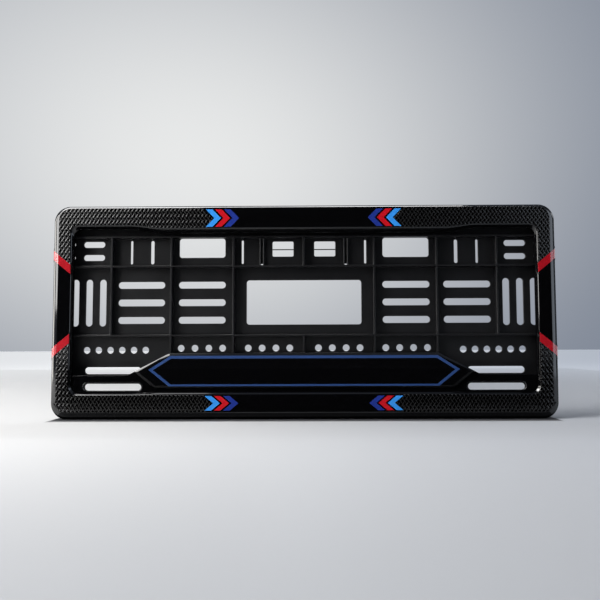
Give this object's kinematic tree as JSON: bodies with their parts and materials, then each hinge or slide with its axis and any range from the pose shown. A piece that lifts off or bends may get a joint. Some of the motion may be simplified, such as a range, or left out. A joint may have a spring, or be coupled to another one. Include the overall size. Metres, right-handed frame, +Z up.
{
  "type": "number plate holder",
  "caption": "Holder for a vehicle's number plate: a slotted tray that is screwed to the body, and a clip-on front frame with a raised label bar.",
  "frame": {"origin": "centre of the holder's footprint, at its lower edge", "axes": "+X to the right of someone who looks at the front, +Y from the front frame towards the tray's back, +Z up"},
  "size_m": [0.53, 0.02, 0.225],
  "materials": {
    "base_tray": "matte black, fine moulded grain",
    "front_frame": "gloss black, with a fine diagonal weave on parts of the rails",
    "label_outline": "glossy blue print",
    "side_stripes": "glossy red print",
    "arrows_light_blue": "glossy light blue print",
    "arrows_dark_blue": "glossy dark blue print",
    "arrows_red": "glossy red print"
  },
  "bodies": {
    "root": {"base_tray": "base_tray", "front_frame": "front_frame", "label_outline": "label_outline", "side_stripes": "side_stripes", "arrows_light_blue": "arrows_light_blue", "arrows_dark_blue": "arrows_dark_blue", "arrows_red": "arrows_red"}
  },
  "joints": []
}
